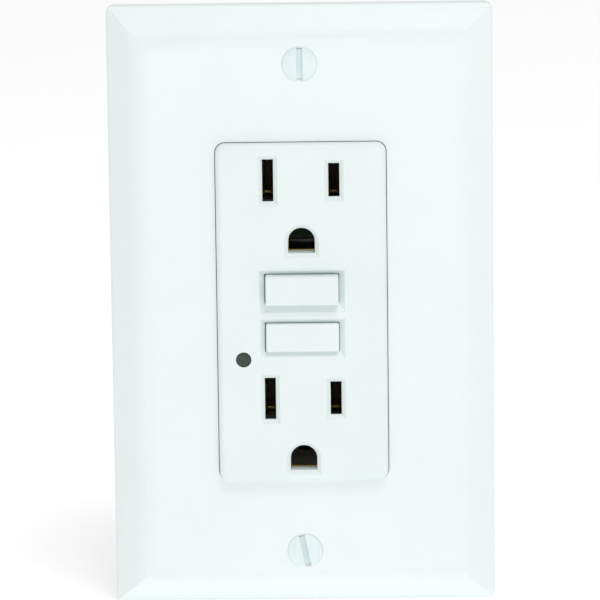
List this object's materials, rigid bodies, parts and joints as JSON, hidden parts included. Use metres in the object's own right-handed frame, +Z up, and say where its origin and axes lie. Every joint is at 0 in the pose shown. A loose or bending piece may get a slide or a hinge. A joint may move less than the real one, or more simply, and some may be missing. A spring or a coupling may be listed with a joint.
{
  "type": "gfci outlet",
  "caption": "One-gang ground-fault wall outlet with grounded plug faces, reset and test push buttons, an indicator, a bevelled wall plate and a steel mounting strap.",
  "frame": {"origin": "middle of the wall plane: the plate's rear rim and the strap's back face lie at y = 0, midway between the two box screws", "axes": "+Z up, the face looks toward -Y, +Y runs into the wall, +X to the right seen from the room"},
  "size_m": [0.0746, 0.039, 0.119],
  "materials": {
    "plate_plastic": "satin white",
    "face_plastic": "satin white",
    "button_plastic": "satin white",
    "painted_screw": "white enamel on steel",
    "lens": "smoked clear acrylic",
    "housing_plastic": "moulded light grey",
    "frame_plastic": "moulded charcoal",
    "dark_plastic": "moulded black",
    "zinc_steel": "bright zinc plate",
    "steel": "plain",
    "spring_steel": "hard drawn",
    "brass": "pressed sheet",
    "nickel_brass": "nickel-plated",
    "green_screw": "green dyed zinc",
    "silver": "silver contact",
    "fibre": "pressed fibre",
    "board_laminate": "solder mask",
    "copper_wire": "enamelled winding",
    "ferrite": "sintered",
    "varistor_coat": "epoxy coat",
    "film_case": "box capacitor",
    "chip_ceramic": "sintered",
    "led_epoxy": "clear epoxy"
  },
  "bodies": {
    "device": {"wall_plate": "plate_plastic", "plate_screws": "painted_screw", "face_cover": "face_plastic", "indicator_lens": "lens", "mounting_strap": "zinc_steel", "box_screws": "zinc_steel", "screw_retainers": "fibre", "grounding_clip": "brass", "upper_ground_contact": "brass", "lower_ground_contact": "brass", "ground_rivets": "steel", "hot_contact_strip": "brass", "neutral_contact_strip": "brass", "fixed_contacts": "silver", "line_hot_terminal": "brass", "line_neutral_terminal": "brass", "arm_posts": "brass", "reset_spring": "spring_steel", "plunger_spring": "spring_steel", "solenoid_bobbin": "dark_plastic", "solenoid_winding": "copper_wire", "solenoid_frame": "steel", "test_post": "brass", "circuit_board": "board_laminate", "sensor_core": "ferrite", "sensor_winding": "copper_wire", "neutral_core": "ferrite", "neutral_winding": "copper_wire", "coil_housing": "dark_plastic", "control_chip": "dark_plastic", "thyristor": "dark_plastic", "varistor": "varistor_coat", "film_capacitor": "film_case", "chip_parts": "chip_ceramic", "diodes": "dark_plastic", "indicator_led": "led_epoxy", "inner_frame": "frame_plastic", "back_housing": "housing_plastic", "housing_screws": "zinc_steel"},
    "reset": {"reset_button": "button_plastic", "reset_pin": "steel"},
    "test": {"test_button": "button_plastic"},
    "test_leaf": {"test_blade": "spring_steel"},
    "carrier": {"contact_carrier": "dark_plastic"},
    "hot_arm": {"line_hot_arm": "brass", "hot_moving_contact": "silver"},
    "neutral_arm": {"line_neutral_arm": "brass", "neutral_moving_contact": "silver"},
    "trip_plunger": {"plunger": "steel"},
    "latch": {"latch_plate": "steel"},
    "ground_washer": {"ground_clamp": "zinc_steel"},
    "ground_bolt": {"ground_screw": "green_screw"},
    "line_neutral_plate": {"line_neutral_clamp": "nickel_brass"},
    "line_neutral_bolt": {"line_neutral_screw": "nickel_brass"},
    "line_hot_plate": {"line_hot_clamp": "brass"},
    "line_hot_bolt": {"line_hot_screw": "brass"},
    "load_neutral_plate": {"load_neutral_clamp": "nickel_brass"},
    "load_neutral_bolt": {"load_neutral_screw": "nickel_brass"},
    "load_hot_plate": {"load_hot_clamp": "brass"},
    "load_hot_bolt": {"load_hot_screw": "brass"}
  },
  "joints": [
    {"name": "reset_press", "type": "slide", "parent": "device", "child": "reset", "axis": [0, 1, 0], "range_m": [0, 0.0022], "stiffness_N_per_m": 900, "deforming": ["reset_spring"]},
    {"name": "test_press", "type": "slide", "parent": "device", "child": "test", "axis": [0, 1, 0], "range_m": [0, 0.0014], "stiffness_N_per_m": 900},
    {"name": "test_leaf_bend", "type": "hinge", "parent": "device", "child": "test_leaf", "pos_m": [-0.0082, 0.00228, -0.0049], "axis": [0, 0, 1], "range_deg": [0, 10]},
    {"name": "carrier_lift", "type": "slide", "parent": "device", "child": "carrier", "axis": [0, 1, 0], "range_m": [-0.001, 0]},
    {"name": "hot_arm_bend", "type": "hinge", "parent": "device", "child": "hot_arm", "pos_m": [0.0066, 0.0105, 0.0168], "axis": [1, 0, 0], "range_deg": [-5, 0]},
    {"name": "neutral_arm_bend", "type": "hinge", "parent": "device", "child": "neutral_arm", "pos_m": [-0.0066, 0.0105, 0.0168], "axis": [1, 0, 0], "range_deg": [-5, 0]},
    {"name": "plunger_slide", "type": "slide", "parent": "device", "child": "trip_plunger", "axis": [0, 0, 1], "range_m": [0, 0.0009], "stiffness_N_per_m": 200, "springref_m": 0.0009, "deforming": ["plunger_spring"]},
    {"name": "latch_slide", "type": "slide", "parent": "carrier", "child": "latch", "axis": [0, 0, 1], "range_m": [0, 0.0009]},
    {"name": "ground_clamp_slide", "type": "slide", "parent": "device", "child": "ground_washer", "axis": [-1, 0, 0], "range_m": [0, 0.0025]},
    {"name": "ground_screw_turn", "type": "hinge", "parent": "ground_washer", "child": "ground_bolt", "pos_m": [-0.012, 0.0049, -0.042], "axis": [-1, 0, 0], "range_deg": [0, 1134]},
    {"name": "line_neutral_clamp_slide", "type": "slide", "parent": "device", "child": "line_neutral_plate", "axis": [-1, 0, 0], "range_m": [0, 0.0022]},
    {"name": "line_neutral_screw_turn", "type": "hinge", "parent": "line_neutral_plate", "child": "line_neutral_bolt", "pos_m": [-0.018, 0.0105, 0.013], "axis": [-1, 0, 0], "range_deg": [0, 998]},
    {"name": "line_hot_clamp_slide", "type": "slide", "parent": "device", "child": "line_hot_plate", "axis": [1, 0, 0], "range_m": [0, 0.0022]},
    {"name": "line_hot_screw_turn", "type": "hinge", "parent": "line_hot_plate", "child": "line_hot_bolt", "pos_m": [0.018, 0.0105, 0.013], "axis": [1, 0, 0], "range_deg": [0, 998]},
    {"name": "load_neutral_clamp_slide", "type": "slide", "parent": "device", "child": "load_neutral_plate", "axis": [-1, 0, 0], "range_m": [0, 0.0022]},
    {"name": "load_neutral_screw_turn", "type": "hinge", "parent": "load_neutral_plate", "child": "load_neutral_bolt", "pos_m": [-0.018, 0.0105, -0.013], "axis": [-1, 0, 0], "range_deg": [0, 998]},
    {"name": "load_hot_clamp_slide", "type": "slide", "parent": "device", "child": "load_hot_plate", "axis": [1, 0, 0], "range_m": [0, 0.0022]},
    {"name": "load_hot_screw_turn", "type": "hinge", "parent": "load_hot_plate", "child": "load_hot_bolt", "pos_m": [0.018, 0.0105, -0.013], "axis": [1, 0, 0], "range_deg": [0, 998]}
  ],
  "couplings": [
    {"joint": "test_leaf_bend", "follows": "test_press", "rad_per_m": 121.95},
    {"joint": "hot_arm_bend", "follows": "carrier_lift", "rad_per_m": 84.746},
    {"joint": "neutral_arm_bend", "follows": "carrier_lift", "rad_per_m": 84.746},
    {"joint": "latch_slide", "follows": "plunger_slide", "ratio": 1},
    {"joint": "ground_screw_turn", "follows": "ground_clamp_slide", "rad_per_m": 7915.8},
    {"joint": "line_neutral_screw_turn", "follows": "line_neutral_clamp_slide", "rad_per_m": 7915.8},
    {"joint": "line_hot_screw_turn", "follows": "line_hot_clamp_slide", "rad_per_m": 7915.8},
    {"joint": "load_neutral_screw_turn", "follows": "load_neutral_clamp_slide", "rad_per_m": 7915.8},
    {"joint": "load_hot_screw_turn", "follows": "load_hot_clamp_slide", "rad_per_m": 7915.8}
  ]
}
